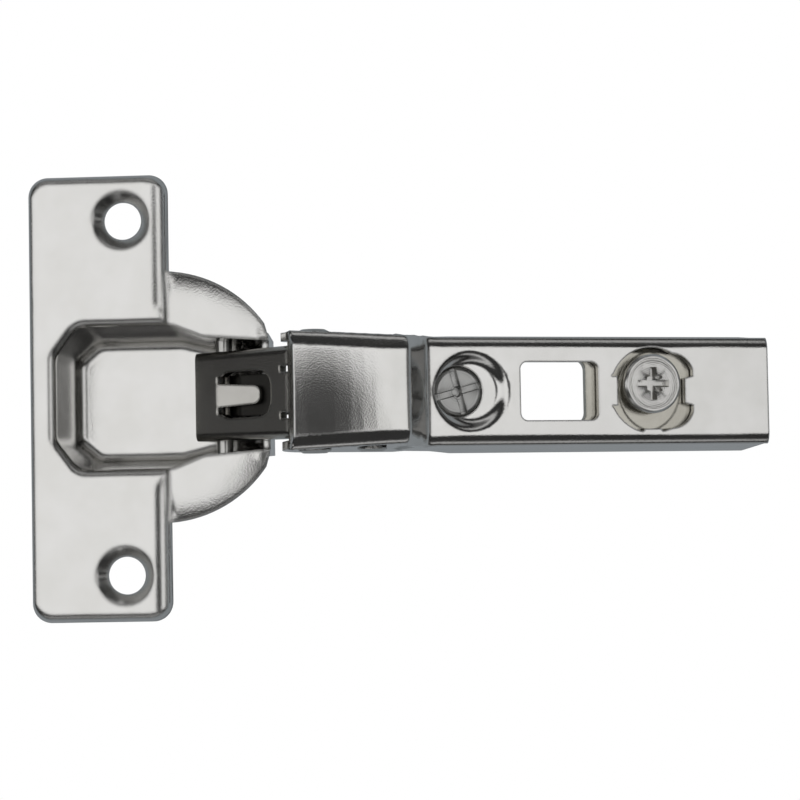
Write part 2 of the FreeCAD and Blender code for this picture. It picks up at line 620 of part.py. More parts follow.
def make_outer_link():
    link = Piece("outer_link", outer_place)
    span = outer_span
    start, end = S.link_back_start, span - S.link_back_gap
    slope = (S.link_back_low - S.link_back_high) / (end - start)

    def back(a):
        return S.link_back_low - slope * (a - start)

    def half(a):
        return S.link_half_low + (S.link_half_high - S.link_half_low) * ((a - start) / (end - start))

    reach = (-6.0, span + 6.0)
    base = -8.0
    outer, inner = [], []
    for a in reach:
        wide = half(a)
        outer.append(link.sketch("YZ_Plane", [rectangle(-wide, base, wide, back(a))], lift=a))
    link.loft(outer)
    low, high = S.link_eye_low, S.link_eye_high

    # the flanges are cut back along the path of the inner link's cup pin
    offset = inner_cup - outer_cup
    away = offset.Length
    room = S.inner_pin_radius + S.link_slot_room
    passing = away + room
    rest = math.atan2(offset.z, offset.x) - math.atan2(arm_front.z - outer_cup.z, arm_front.x - outer_cup.x)
    stop = rest + math.asin(room.value / away)
    bend_end = (passing * math.cos(stop), passing * math.sin(stop))
    waist = S.link_waist
    side = [
        (start, back(start)), (end, back(end)), (span + high * 0.62, high * 0.785),
        Arc(span + high, 0.0, high, -1), Arc(span, -high, high, -1), (span - high * 0.9, -high * 0.55), (span - 5.2, waist * 0.5),
        (span - 9.2, waist), (passing + 1.4, waist * 0.65),
        (passing * math.cos(0.12), passing * math.sin(0.12)), Arc(*bend_end, passing, 1),
        (low * math.cos(stop), low * math.sin(stop)), Arc(low, 0.0, low, -1), Arc(0.0, -low, low, -1),
        Arc(-low * 0.97, low * 0.243, low, -1), (-1.3, back(start) * 0.573)]
    frame = rectangle(-7.0, -9.0, span + 7.0, 12.0)
    link.pocket(link.sketch("XZ_Plane", [frame, side]), 40.0, symmetric=True)
    back_low = back(start).value if isinstance(back(start), Size) else back(start)
    link.fillet(S.link_bend, lambda edge: along(edge, Vector(end.value, 0, number(back(end)))
                - Vector(start.value, 0, back_low), 0.0)
                and abs(direction(edge).y) < 0.2 and edge.Length > 10
                and abs(middle(edge).z - 0.5 * (back_low + number(back(end)))) < 0.6)
    for a in reach:
        wide = half(a) - S.link_sheet
        inner.append(link.sketch("YZ_Plane", [rectangle(-wide, base - 1.0, wide, back(a) - S.link_sheet)],
                                 lift=a))
    link.loft(inner, cut=True)

    # window with its lanced tongue, and the notches in the upper edge
    first = S.link_back_start + S.link_window_start
    last = first + S.link_window_length
    wide, corner = S.link_window_half, S.link_window_corner
    window = [
        Arc(first + corner, -wide, corner, 1), (last - corner, -wide), Arc(last, -wide + corner, corner, 1),
        (last, wide - corner), Arc(last - corner, wide, corner, 1), (first + corner, wide),
        Arc(first, wide - corner, corner, 1), (first, -wide + corner)]
    above = S.link_back_low + 3.0
    link.pocket(link.sketch("XY_Plane", [window], lift=above), above)
    notches = []
    for side_y in (-1, 1):
        low_y = S.link_notch_at * side_y - S.link_notch_half
        notches.append(rectangle(end - S.link_notch_depth, low_y, end + 1.0, low_y + 2 * S.link_notch_half))
    link.pocket(link.sketch("XY_Plane", notches, lift=above), above - S.link_back_high + S.link_sheet + 0.6)
    root = (first, back(first) - 0.1)
    dip = math.atan(number(slope)) + math.radians(S.tongue_dip.value)
    tip = (root[0] + S.tongue_length * math.cos(dip), root[1] - S.tongue_length * math.sin(dip))
    under = (-S.tongue_sheet * math.sin(dip), -S.tongue_sheet * math.cos(dip))
    tongue = [root, tip, (tip[0] + under[0], tip[1] + under[1]),
              (root[0] - 0.9, back(first - 0.9) - S.link_sheet + 0.15),
              (root[0] - 0.9, back(first - 0.9) - 0.1)]
    link.pad(link.sketch("XZ_Plane", [tongue]), 2 * S.tongue_half, symmetric=True)
    narrow = []
    for side_y in (-1, 1):
        edge_y, past = S.tongue_half * side_y, (S.tongue_half + 1.0) * side_y
        narrow.append([(root[0], edge_y), (tip[0] + 1.0, edge_y - S.tongue_taper * side_y),
                       (tip[0] + 1.0, past), (root[0], past)])
    link.pocket(link.sketch("XY_Plane", narrow, lift=above), above)
    tip_x = number(tip[0]) + 0.5 * under[0].value
    tip_half = S.tongue_half.value - S.tongue_taper.value
    link.fillet(S.tongue_corner, lambda edge: abs(middle(edge).x - tip_x) < 0.15
                and abs(abs(middle(edge).y) - tip_half) < 0.2 and 0.5 < edge.Length < 1.2)

    # the eyes
    gap = S.gap_running
    link.pocket(link.sketch("XZ_Plane", circles=[(0, 0, S.outer_pin_radius + gap),
                                                 (span, 0, S.arm_pin_radius + gap)]), 40.0, symmetric=True)
    return link


# Inner link

def make_inner_link():
    link = Piece("inner_link", inner_place)
    span = inner_span
    hole_high = S.arm_pin_radius + S.inner_eye_play
    eye_high = hole_high + S.strip_wall_high
    thick = S.strip_thick / 2
    hump = S.strip_hump
    line = [(0.0, 0.0), (3.6, hump * 0.8), (9.4, hump), (13.4, hump * 0.45), (16.6, 0.0), (span, 0.0)]
    upper = [(s, n + thick) for s, n in line]
    lower = [(s, n - thick) for s, n in reversed(line)]
    width = 2 * S.strip_half
    link.pad(link.sketch("XZ_Plane", [upper + lower]), width, symmetric=True)
    bends = [point[0] for point in line[1:-1]]
    link.fillet(2.0, lambda edge: along(edge, Y_DIR)
                and any(abs(middle(edge).x - bend) < 0.1 for bend in bends))
    for x, radius in ((0.0, S.strip_eye_low), (span, eye_high)):
        link.pad(link.sketch("XZ_Plane", circles=[(x, 0.0, radius)]), width, symmetric=True)
    holes = [(0.0, 0.0, S.inner_pin_radius + S.gap_running), (span, 0.0, hole_high)]
    link.pocket(link.sketch("XZ_Plane", circles=holes), 40.0, symmetric=True)
    return link


# Arm

def arm_stations():
    """Places along the arm with the walls' half width at the pins' level and their flare."""
    front = (S.arm_half_front, S.arm_flare_front)
    crank = (S.arm_half_crank, S.arm_flare_crank)
    rear = (S.arm_half_rear, S.arm_flare_rear)
    return [(-S.arm_front_reach - 1.5, *front), (S.arm_nose_end, *crank),
            (S.arm_crank_end + 2.0, *rear), (S.arm_length + 4.0, *rear)]


def nose_height(u):
    """Height of the nose's outer face at a place along it."""
    run = S.arm_nose_end.value - u
    return S.arm_nose_top.value - S.arm_nose_radius.value + math.sqrt(S.arm_nose_radius.value ** 2 - run ** 2)


def make_arm():
    arm = Piece("hinge_arm", arm_place)
    top, base = S.arm_nose_top + 2.0, S.arm_rear_foot - 2.0
    sections = []
    for u, half, flare in arm_stations():
        high, low = half - flare * top, half - flare * base
        sections.append(arm.sketch("YZ_Plane", [[(-low, base), (low, base), (high, top), (-high, top)]], lift=u))
    arm.loft(sections)

    front = -S.arm_front_reach
    drop = nose_height(front.value + 0.6) - S.arm_nose_top.value
    foot = S.arm_nose_foot
    side = [
        (front + 0.6, S.arm_nose_top + drop),
        Arc(S.arm_nose_end, S.arm_nose_top, S.arm_nose_radius, -1),
        (S.arm_crank_end, S.arm_rear_top), (S.arm_length, S.arm_rear_top),
        (S.arm_length - 0.8, S.arm_rear_foot), (S.arm_foot_end, S.arm_rear_foot),
        (S.arm_foot_start, foot), (front + 3.4, foot),
        Arc(front - 0.15, 0.0, 4.4, -1), (front, 2.0)]
    frame = rectangle(front - 8.0, base - 6.0, S.arm_length + 8.0, top + 4.0)
    arm.pocket(arm.sketch("XZ_Plane", [frame, side]), 60.0, symmetric=True)

    # bends across the crank, then along the folds
    nose_end, crank_end = S.arm_nose_end.value, S.arm_crank_end.value
    arm.fillet(S.arm_crank_bend, lambda edge: along(edge, Y_DIR)
               and (abs(middle(edge).x - nose_end) < 0.05 and middle(edge).z > 0
                    or abs(middle(edge).x - crank_end) < 0.05 and middle(edge).z > -2))
    foot_z = S.arm_nose_foot.value
    rear_top = S.arm_rear_top.value
    arm.fillet(S.arm_bend, lambda edge: not along(edge, Y_DIR, 0.8) and middle(edge).z > rear_top - 0.3
               and abs(middle(edge).y) > 5 and not (middle(edge).x < front.value + 0.4)
               and edge.BoundBox.ZMin > rear_top - 0.3
               and (middle(edge).x > crank_end - 0.8 or middle(edge).z > foot_z + 5.5
                    and middle(edge).z > 0.0)
               and abs(abs(middle(edge).y) - arm_half_local(middle(edge))) < 0.4)

    # the inside follows the outside at the sheet's thickness
    steel = S.arm_sheet
    flat_in = S.arm_nose_top - steel
    bend_in = S.arm_crank_end - steel * 0.7
    nose_in = S.arm_nose_end - steel * 0.7
    inner_line = []
    for u in (front.value - 3.0, front.value + 4.0, front.value + 10.0):
        inner_line.append((u, flat_in + (nose_height(u) - S.arm_nose_top.value)))
    inner_line += [(nose_in, flat_in), (bend_in, S.arm_rear_top - steel),
                   (S.arm_length + 3.0, S.arm_rear_top - steel)]
    cavity = []
    for u, height in inner_line:
        place = number(u)
        high = arm_half(place, number(height)) - steel
        low = arm_half(place, number(base)) - steel
        cavity.append(arm.sketch("YZ_Plane", [[(-low, base - 1.0), (low, base - 1.0), (high, height),
                                               (-high, height)]], lift=u))
    arm.loft(cavity, cut=True)

    # pin bores
    arm.pocket(arm.sketch("XZ_Plane", circles=[(0.0, 0.0, S.arm_pin_radius),
                                               (S.arm_pin_spacing, 0.0, S.arm_pin_radius)]), 60.0, symmetric=True)

    # dimple and threaded collar of the overlay screw
    web = S.arm_rear_top
    collar_top = web - steel / 2
    collar = [(0.0, collar_top), (0.0, web - steel - S.collar_length),
              (S.collar_radius, web - steel - S.collar_length), (S.collar_radius, collar_top)]
    arm.revolve(arm.sketch("XZ_Plane", [collar], slide=(S.overlay_at, 0.0)))
    drop, outer, floor = S.dimple_depth, S.dimple_radius, S.dimple_floor_radius
    halfway = ((outer + floor) / 2, web - drop / 2)
    curve = S.dimple_curve
    below = steel * 0.85
    pan = [(0.0, collar_top), (0.0, web - below - drop), (floor, web - below - drop),
           Arc(halfway[0], halfway[1] - below, curve, 1), Arc(outer - 0.1, web - below, curve, -1),
           (outer - 0.1, collar_top)]
    arm.revolve(arm.sketch("XZ_Plane", [pan], slide=(S.dimple_at, 0.0)))
    dish = [(0.0, web + 1.0), (0.0, web - drop), (floor, web - drop), Arc(*halfway, curve, 1),
            Arc(outer, web, curve, -1), (outer, web + 1.0)]
    arm.revolve(arm.sketch("XZ_Plane", [dish], slide=(S.dimple_at, 0.0)), cut=True)
    hole = rectangle(0.0, web - 10.0, S.overlay_radius + S.gap_running, web + 1.0)
    arm.revolve(arm.sketch("XZ_Plane", [hole], slide=(S.overlay_at, 0.0)), cut=True)
    rim = rectangle(0.0, web - drop - 0.7, S.overlay_hole_radius, web + 1.0)
    arm.revolve(arm.sketch("XZ_Plane", [rim], slide=(S.overlay_at, 0.0)), cut=True)

    # window
    above = web + 1.0
    window = rectangle(S.window_start, -S.window_half, S.window_start + S.window_length, S.window_half)
    arm.pocket(arm.sketch("XY_Plane", [window], lift=above), 4.0)
    arm.fillet(S.window_corner, lambda edge: along(edge, Z_DIR)
               and abs(abs(middle(edge).y) - S.window_half.value) < 0.01
               and S.window_start.value - 0.1 < middle(edge).x
               < S.window_start.value + S.window_length.value + 0.1)

    # rear opening with its two tabs
    centre = S.opening_at
    left, right = centre - S.tab_gap_left, centre + S.tab_gap_right
    radius = S.opening_radius
    tab, ear, barb = S.tab_half, S.opening_ear, S.opening_barb
    root = math.sqrt(radius.value ** 2 - tab.value ** 2)
    shoulder = (centre + radius * 0.5, radius * 0.866)
    ear_top = tab + S.opening_ear_length
    bump = S.opening_bump
    opening = [
        (left, tab), (centre - root - barb, tab), (centre - root, tab + barb),
        Arc(centre, radius, radius, -1), Arc(*shoulder, radius, -1),
        Arc(centre + ear, ear_top, radius * 0.55, -1), (centre + ear, tab), (right, tab - barb),
        (right, barb - tab), (centre + ear, -tab), (centre + ear, -ear_top),
        Arc(shoulder[0], -radius * 0.866, radius * 0.55, -1),
        (centre + bump, -radius * 0.94), (centre + bump - 0.4, -radius + S.opening_bump_height),
        (centre - bump + 0.4, -radius + S.opening_bump_height), (centre - bump, -radius * 0.94),
        Arc(centre - root, -tab - barb, radius, -1), (centre - root - barb, -tab), (left, -tab)]
    arm.pocket(arm.sketch("XY_Plane", [opening], lift=above), 4.0)
    return arm


def arm_half_local(point):
    """Half width of the arm at a point given in the arm's own frame."""
    return arm_half(point.x, point.z)


def make_arm_pin(name, along_arm, head_radius, two_heads):
    """A riveted pin through the arm's walls with low round heads."""
    at = along_arm.value if isinstance(along_arm, Size) else along_arm
    place = arm_place.multiply(Placement(Vector(at, 0, 0), Rotation(X_DIR, 90)))
    pin = Piece(name, place)
    seat = arm_half(at, 0.0)
    pin.pad(pin.sketch("XY_Plane", circles=[(0, 0, S.arm_pin_radius)], lift=-seat), 2 * seat)
    height = S.arm_pin_head
    for side in (1, -1) if two_heads else (1,):
        low = seat * side
        rise = height * side
        head = [(0.0, low), (head_radius, low), (head_radius, low + rise * 0.35),
                (head_radius * 0.72, low + rise), (0.0, low + rise)]
        pin.revolve(pin.sketch("XZ_Plane", [head]))
    return pin


# Overlay screw

def make_overlay_screw():
    place = arm_place.multiply(Placement(Vector(S.overlay_at.value, 0, S.arm_rear_top.value),
                                         Rotation(Z_DIR, S.overlay_turn.value)))
    screw = Piece("overlay_screw", place)
    top = -S.dimple_depth + S.overlay_sink
    thread_end = top - S.overlay_thread
    neck_end = thread_end - S.overlay_neck
    foot_end = neck_end - S.overlay_foot
    profile = [
        (0.0, top), (0.0, foot_end), (S.overlay_foot_radius, foot_end), (S.overlay_foot_radius, neck_end),
        (S.overlay_neck_radius, neck_end), (S.overlay_neck_radius, thread_end),
        (S.overlay_radius, thread_end), (S.overlay_radius, top - 0.25), (S.overlay_radius - 0.25, top)]
    screw.revolve(screw.sketch("XZ_Plane", [profile]))
    slot, reach = S.overlay_slot / 2, S.overlay_radius + 1.0
    for loop in (rectangle(-reach, -slot, reach, slot), rectangle(-slot, -reach, slot, reach)):
        screw.pocket(screw.sketch("XY_Plane", [loop], lift=top), S.overlay_slot_depth)
    screw.pocket(screw.sketch("XY_Plane", circles=[(0, 0, S.overlay_bore_radius)], lift=top), 2.2)
    return screw


# Base

def base_top():
    return S.arm_rear_top - S.arm_sheet - S.gap_slide


def make_base():
    base = Piece("base_slide", arm_place)
    top, half, steel = base_top(), S.base_half, S.base_sheet
    front_top, step, rise = S.base_front_top, S.base_step_start, S.base_step_end
    side = [(S.base_start, front_top), (step, front_top), (rise, top), (S.base_end, top),
            (S.base_end, S.lever_pin_drop - 1.8),
            (S.base_end - 3.0, S.base_foot), (S.base_hook_at + 8.0, S.base_foot),
            (S.base_hook_at + 5.0, S.base_foot + 2.2), (S.base_hook_at + 3.2, S.base_foot),
            (S.base_start + 1.0, S.base_foot), (S.base_start, S.base_foot + 1.0)]
    base.pad(base.sketch("XZ_Plane", [side]), 2 * half, symmetric=True)
    level = top.value
    base.fillet(S.base_bend, lambda edge: along(edge, X_DIR) and abs(middle(edge).z - level) < 0.01)
    inside = [(S.base_start - 2.0, S.base_foot - 2.0), (S.base_end + 2.0, S.base_foot - 2.0),
              (S.base_end + 2.0, top - steel), (rise + steel * 0.5, top - steel),
              (step + steel * 0.5, front_top - steel), (S.base_start - 2.0, front_top - steel)]
    base.pocket(base.sketch("XZ_Plane", [inside]), 2 * (half - steel), symmetric=True)

    # notches that take the mounting plate's front pins
    hook = S.base_hook_radius
    mouth = [(S.base_hook_at - hook, S.base_foot - 1.0), (S.base_hook_at + hook, S.base_foot - 1.0),
             (S.base_hook_at + hook, S.base_foot + hook),
             Arc(S.base_hook_at, S.base_foot + 2 * hook, hook, 1),
             Arc(S.base_hook_at - hook, S.base_foot + hook, hook, 1)]
    base.pocket(base.sketch("XZ_Plane", [mouth]), 40.0, symmetric=True)

    above = top + 1.0
    deep = steel + 2.0
    window = rectangle(S.base_window_start, -S.window_half,
                       S.base_window_start + S.base_window_length, S.window_half)
    base.pocket(base.sketch("XY_Plane", [window], lift=above), deep)
    window_end = (S.base_window_start + S.base_window_length).value
    base.fillet(1.4, lambda edge: along(edge, Z_DIR) and abs(middle(edge).x - window_end) < 0.01
                and abs(middle(edge).y) < S.window_half.value + 0.01)

    # oval land under the cam
    long, broad = S.base_land_half_u, S.base_land_half_y
    arch = (broad * broad + long * long) / (2 * long)
    land = [Arc(S.opening_at, -broad, arch, 1), Arc(S.opening_at + long, 0.0, arch, 1),
            Arc(S.opening_at, broad, arch, 1), Arc(S.opening_at - long, 0.0, arch, 1)]
    base.pad(base.sketch("XY_Plane", [land], lift=top), S.base_land_rise)

    # open slot that holds the overlay screw's foot
    neck = S.overlay_neck_radius + 0.25
    slide = 2.4
    slot = [(S.base_start - 1.0, -neck), (S.overlay_at + slide, -neck),
            Arc(S.overlay_at + slide + neck, 0.0, neck, 1), Arc(S.overlay_at + slide, neck, neck, 1),
            (S.base_start - 1.0, neck)]
    base.pocket(base.sketch("XY_Plane", [slot], lift=front_top + 1.0), deep)

    # bore of the cam and of the lever pin
    base.pocket(base.sketch("XY_Plane", circles=[(S.cam_at, S.cam_side, S.cam_shaft_radius + S.gap_running)],
                            lift=above), deep)
    base.pocket(base.sketch("XZ_Plane", circles=[(S.lever_pin_at, S.lever_pin_drop, S.lever_pin_radius)]),
                40.0, symmetric=True)
    return base


def make_depth_cam():
    place = arm_place.multiply(Placement(Vector(S.cam_at.value, S.cam_side.value, 0), Rotation()))
    cam = Piece("depth_cam", place)
    seat = base_top() + S.base_land_rise
    under = S.arm_rear_top + S.gap_running
    rivet_top = base_top() - S.base_sheet
    shift = S.cam_head_shift
    cam.pad(cam.sketch("XY_Plane", circles=[(0, 0, S.cam_disc_radius)], lift=seat), under - seat)
    cam.pad(cam.sketch("XY_Plane", circles=[(0, shift, S.cam_head_radius)], lift=under), S.cam_head)
    top = under + S.cam_head
    level = top.value
    cam.fillet(0.3, lambda edge: abs(middle(edge).z - level) < 0.01)
    cam.pad(cam.sketch("XY_Plane", circles=[(0, 0, S.cam_shaft_radius)], lift=rivet_top), seat - rivet_top)
    cam.pad(cam.sketch("XY_Plane", circles=[(0, 0, S.cam_rivet_radius)], lift=rivet_top - S.cam_rivet),
            S.cam_rivet)
    long, wide = S.cam_recess_half, S.cam_recess_wide
    for loop in (rectangle(-long, -wide, long, wide), rectangle(-wide, -long, wide, long)):
        cam.pocket(cam.sketch("XY_Plane", [loop], lift=top), S.cam_recess_depth)
    return cam


# Release lever

def make_lever():
    lever = Piece("release_lever", arm_place)
    half, steel = S.lever_half, S.lever_sheet
    x, z = S.lever_pin_at, S.lever_pin_drop
    side = [(x - 2.4, S.lever_top), (S.lever_end - 2.0, S.lever_top - 0.9), (S.lever_end, S.lever_top - 3.2),
            (S.lever_end - 0.9, S.lever_top - 3.9), (S.lever_end - 3.4, S.lever_top - 2.6),
            (x + 3.0, z - 2.6), (x - 0.6, S.lever_foot), (S.lever_front, S.lever_foot),
            (S.lever_front, S.lever_foot + 1.4), (x - 2.4, S.lever_foot + 2.2)]
    lever.pad(lever.sketch("XZ_Plane", [side]), 2 * half, symmetric=True)
    inside = [(x - 8.0, S.lever_top - steel), (x - 1.4, S.lever_top - steel),
              (S.lever_end - 2.6, S.lever_top - steel - 0.9), (S.lever_end - 2.6, S.lever_foot - 2.0),
              (x - 8.0, S.lever_foot - 2.0)]
    lever.pocket(lever.sketch("XZ_Plane", [inside]), 2 * (half - steel), symmetric=True)
    bore = S.lever_pin_radius + S.gap_running
    lever.pocket(lever.sketch("XZ_Plane", circles=[(x, z, bore)]), 40.0, symmetric=True)
    # opening in the web over the spring's coil
    slot = rectangle(x - 3.4, -S.lever_slot_half, x + S.lever_slot_end, S.lever_slot_half)
    lever.pocket(lever.sketch("XY_Plane", [slot], lift=S.lever_top), 2 * S.lever_sheet)
    return lever


def make_lever_pin():
    place = arm_place.multiply(Placement(Vector(S.lever_pin_at.value, 0, S.lever_pin_drop.value),
                                         Rotation(X_DIR, -90)))
    pin = Piece("lever_pin", place)
    pin.pad(pin.sketch("XY_Plane", circles=[(0, 0, S.lever_pin_radius)], lift=-S.base_half - 0.3),
            2 * (S.base_half + 0.3))
    return pin


# Springs are swept wires, so their shapes are set with Part's own functions
WIRE_SIDES = 8


def coil_points(radius, turns, pitch, start_angle, start_y, side, per_turn=12):
    """Points of a helix round the Y axis that starts at an angle and runs outwards."""
    count = int(round(turns * per_turn))
    points = []
    for index in range(count + 1):
        angle = math.radians(start_angle) + 2 * math.pi * index / per_turn
        y = start_y + side * pitch * index / per_turn
        points.append(Vector(radius * math.cos(angle), y, radius * math.sin(angle)))
    return points


def mitre(point, back, ahead, corner, run):
    """Where an edge that runs along the wire through corner meets the mitre plane at point."""
    normal = (back + ahead).normalize()
    return corner + run * ((point - corner).dot(normal) / run.dot(normal))


def wire_solid(points, radius):
    """A thin wire of straight mitred lengths with flats in place of a round, so that it stays light."""
    runs = [(after - before).normalize() for before, after in zip(points, points[1:])]
    across = runs[0].cross(Vector(0.3, 0.2, 0.9)).normalize()
    other = runs[0].cross(across).normalize()
    ring = []
    for index in range(WIRE_SIDES):
        angle = 2 * math.pi * index / WIRE_SIDES
        ring.append(points[0] + across * (radius * math.cos(angle)) + other * (radius * math.sin(angle)))
    rings = [ring]
    for index, run in enumerate(runs):
        ahead = runs[min(index + 1, len(runs) - 1)]
        rings.append([mitre(points[index + 1], run, ahead, corner, run) for corner in rings[-1]])
    faces = [Part.Face(Part.makePolygon(end + end[:1])) for end in (rings[0], rings[-1])]
    for near, far in zip(rings, rings[1:]):
        for index in range(WIRE_SIDES):
            after = (index + 1) % WIRE_SIDES
            faces.append(Part.Face(Part.makePolygon([near[index], near[after], far[after], far[index],
                                                     near[index]])))
    solid = Part.makeSolid(Part.makeShell(faces))
    return solid if solid.Volume > 0 else solid.reversed()


def tongue_point(share, gap):
    """A place under the outer link's tongue, at a share of its length, in the hinge's frame."""
    slope = (S.link_back_low.value - S.link_back_high.value) / (
        outer_span - S.link_back_gap.value - S.link_back_start.value)
    dip = math.atan(slope) + math.radians(S.tongue_dip.value)
    x = S.link_back_start.value + S.link_window_start.value
    z = S.link_back_low.value - slope * S.link_window_start.value - 0.1
    run, drop = S.tongue_length.value * share, S.tongue_sheet.value + gap
    return outer_place.multVec(Vector(x + run * math.cos(dip) - drop * math.sin(dip), 0,
                                      z - run * math.sin(dip) - drop * math.cos(dip)))


def make_spring(name, shape, place):
    spring = doc.addObject("Part::Feature", name)
    spring.Label = name
    spring.Shape = shape
    spring.Placement = place
    return spring


def make_closing_spring():
    """Double torsion spring on the inner link's pin: its bridge presses on the tongue."""
    wire, radius = S.spring_wire.value, S.spring_coil.value
    first = S.strip_half.value + wire + 0.15
    pitch = S.spring_pitch.value
    bridge = tongue_point(0.12, wire + 0.35) - inner_cup
    start_angle = 125.0
    coil = coil_points(radius, S.spring_turns.value, pitch, start_angle, first, 1)
    lead = [Vector(bridge.x, first - 1.3, bridge.z), Vector(bridge.x - 0.05, first - 0.2, bridge.z - 0.1),
            Vector(-0.1, first, 2.15)]
    floor = S.cup_sheet.value - S.cup_depth.value - S.inner_cup_z.value + wire + 0.15
    bends = ((-0.5, -2.0), (1.2, -2.35), (2.75, -3.7), (3.2, -5.3), (3.3, floor))
    tail = [Vector(x, coil[-1].y, z) for x, z in bends]
    half = lead + coil + tail
    mirrored = [Vector(point.x, -point.y, point.z) for point in reversed(half)]
    return make_spring("closing_spring", wire_solid(mirrored + half, wire),
                       Placement(inner_cup, Rotation()))


def make_clip_spring():
    """Small torsion spring on the lever's pin."""
    wire, radius = S.clip_wire.value, S.clip_coil.value
    pitch = 2 * wire + 0.1
    length = S.clip_turns.value * pitch
    coil = coil_points(radius, S.clip_turns.value, pitch, 90.0, -length / 2, 1)
    first, last = coil[0].y, coil[-1].y
    lead = [Vector(4.9, first, -0.15), Vector(3.7, first, 0.0), Vector(2.0, first, 0.95)]
    shape = wire_solid(lead + coil + [Vector(-3.2, last, radius + 0.05)], wire)
    place = arm_place.multiply(Placement(Vector(S.lever_pin_at.value, 0, S.lever_pin_drop.value), Rotation()))
    return make_spring("lever_spring", shape, place)


make_cup()
make_cup_pin("cup_pin_outer", outer_cup, S.outer_pin_radius)
make_cup_pin("cup_pin_inner", inner_cup, S.inner_pin_radius)
make_outer_link()
make_inner_link()
make_arm()
make_arm_pin("arm_pin_front", 0.0, S.front_head_radius, True)
make_arm_pin("arm_pin_rear", S.arm_pin_spacing, S.rear_head_radius, False)
make_overlay_screw()
make_base()
make_depth_cam()
make_lever()
make_lever_pin()
make_closing_spring()
make_clip_spring()
doc.recompute()

failed = [item.Name for item in doc.Objects if "Invalid" in item.State or "Error" in item.State]
if failed:
    raise RuntimeError(f"failed objects: {failed}")

pieces = [item for item in doc.Objects
          if item.TypeId == "PartDesign::Body" or item.TypeId == "Part::Feature"]
os.makedirs("parts", exist_ok=True)
for piece in pieces:
    shape = piece.Shape
    if shape.isNull() or not shape.isValid() or len(shape.Solids) != 1:
        raise RuntimeError(f"{piece.Label} is not one valid solid")
for piece in pieces:
    piece.Shape.exportStep(f"parts/{piece.Label}.step")
    print(f"{piece.Label}: {piece.Shape.Volume:.1f} mm3")
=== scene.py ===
import json
import math

import bpy
from mathutils import Matrix, Vector


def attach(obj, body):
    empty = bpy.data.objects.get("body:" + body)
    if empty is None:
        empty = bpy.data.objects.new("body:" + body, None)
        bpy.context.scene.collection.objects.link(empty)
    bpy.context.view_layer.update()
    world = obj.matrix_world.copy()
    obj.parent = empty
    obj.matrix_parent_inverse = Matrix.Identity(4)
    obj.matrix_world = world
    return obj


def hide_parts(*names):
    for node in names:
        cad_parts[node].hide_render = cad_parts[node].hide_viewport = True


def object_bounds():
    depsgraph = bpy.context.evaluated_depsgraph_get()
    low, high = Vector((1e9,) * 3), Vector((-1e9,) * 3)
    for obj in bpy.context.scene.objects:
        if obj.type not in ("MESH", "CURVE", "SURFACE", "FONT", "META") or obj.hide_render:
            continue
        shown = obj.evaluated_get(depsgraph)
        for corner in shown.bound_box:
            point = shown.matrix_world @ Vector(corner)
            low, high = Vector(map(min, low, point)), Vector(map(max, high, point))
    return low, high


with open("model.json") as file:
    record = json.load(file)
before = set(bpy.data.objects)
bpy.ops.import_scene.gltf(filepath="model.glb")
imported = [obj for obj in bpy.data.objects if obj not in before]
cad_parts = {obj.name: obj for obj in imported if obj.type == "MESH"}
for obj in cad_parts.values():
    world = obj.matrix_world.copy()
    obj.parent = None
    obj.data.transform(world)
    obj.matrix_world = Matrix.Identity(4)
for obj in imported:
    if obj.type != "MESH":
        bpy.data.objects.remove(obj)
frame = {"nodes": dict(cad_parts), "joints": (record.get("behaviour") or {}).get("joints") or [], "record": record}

# A concealed cabinet hinge of pressed, nickel-plated steel, seen from the door's inner face
# with the hinge opened to 110 degrees. Lengths are in metres, MM turns millimetres into them.

MM = 0.001
cad_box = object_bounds()
nodes = frame["nodes"]
joints = {joint["name"]: joint for joint in frame["joints"]}

# Places that the frame gives: the linkage's pivots and the arm's own directions.
outer_pivot = Vector(joints["link_swing"]["pos_m"])
inner_pivot = Vector(joints["inner_link_swing"]["pos_m"])
arm_pivot = Vector(joints["arm_fold"]["pos_m"])
arm_along = Vector(joints["depth_slide"]["axis"]).normalized()
arm_up = Vector(joints["cam_turn"]["axis"]).normalized()
cam_axis = Vector(joints["cam_turn"]["pos_m"])
screw_axis = Vector(joints["overlay_turn"]["pos_m"])
ARM_FALL = math.atan2(-arm_along.z, arm_along.x)
ARM_TURN = Matrix.Rotation(ARM_FALL, 4, "Y")


# Materials

def linear(hex_colour):
    """An sRGB hex colour as the linear colour that a shader takes."""
    parts = [int(hex_colour[i:i + 2], 16) / 255 for i in (1, 3, 5)]
    return [p / 12.92 if p <= 0.04045 else ((p + 0.055) / 1.055) ** 2.4 for p in parts] + [1.0]


def add_node(tree, kind, values=None, links=None, **settings):
    """A node with its settings, its input values and its links from other sockets."""
    node = tree.nodes.new(kind)
    for name, value in settings.items():
        setattr(node, name, value)
    for key, value in (values or {}).items():
        node.inputs[key].default_value = value
    for key, socket in (links or {}).items():
        tree.links.new(socket, node.inputs[key])
    return node


def ramp_stops(ramp, stops):
    """Set a colour ramp to (place, grey or colour) stops."""
    elements = ramp.color_ramp.elements
    while len(elements) > len(stops):
        elements.remove(elements[-1])
    while len(elements) < len(stops):
        elements.new(1.0)
    for element, (place, colour) in zip(elements, stops):
        element.position = place
        element.color = linear(colour) if isinstance(colour, str) else (colour, colour, colour, 1.0)


def new_material(name):
    material = bpy.data.materials.new(name)
    material.use_nodes = True
    tree = material.node_tree
    tree.nodes.clear()
    return material, tree


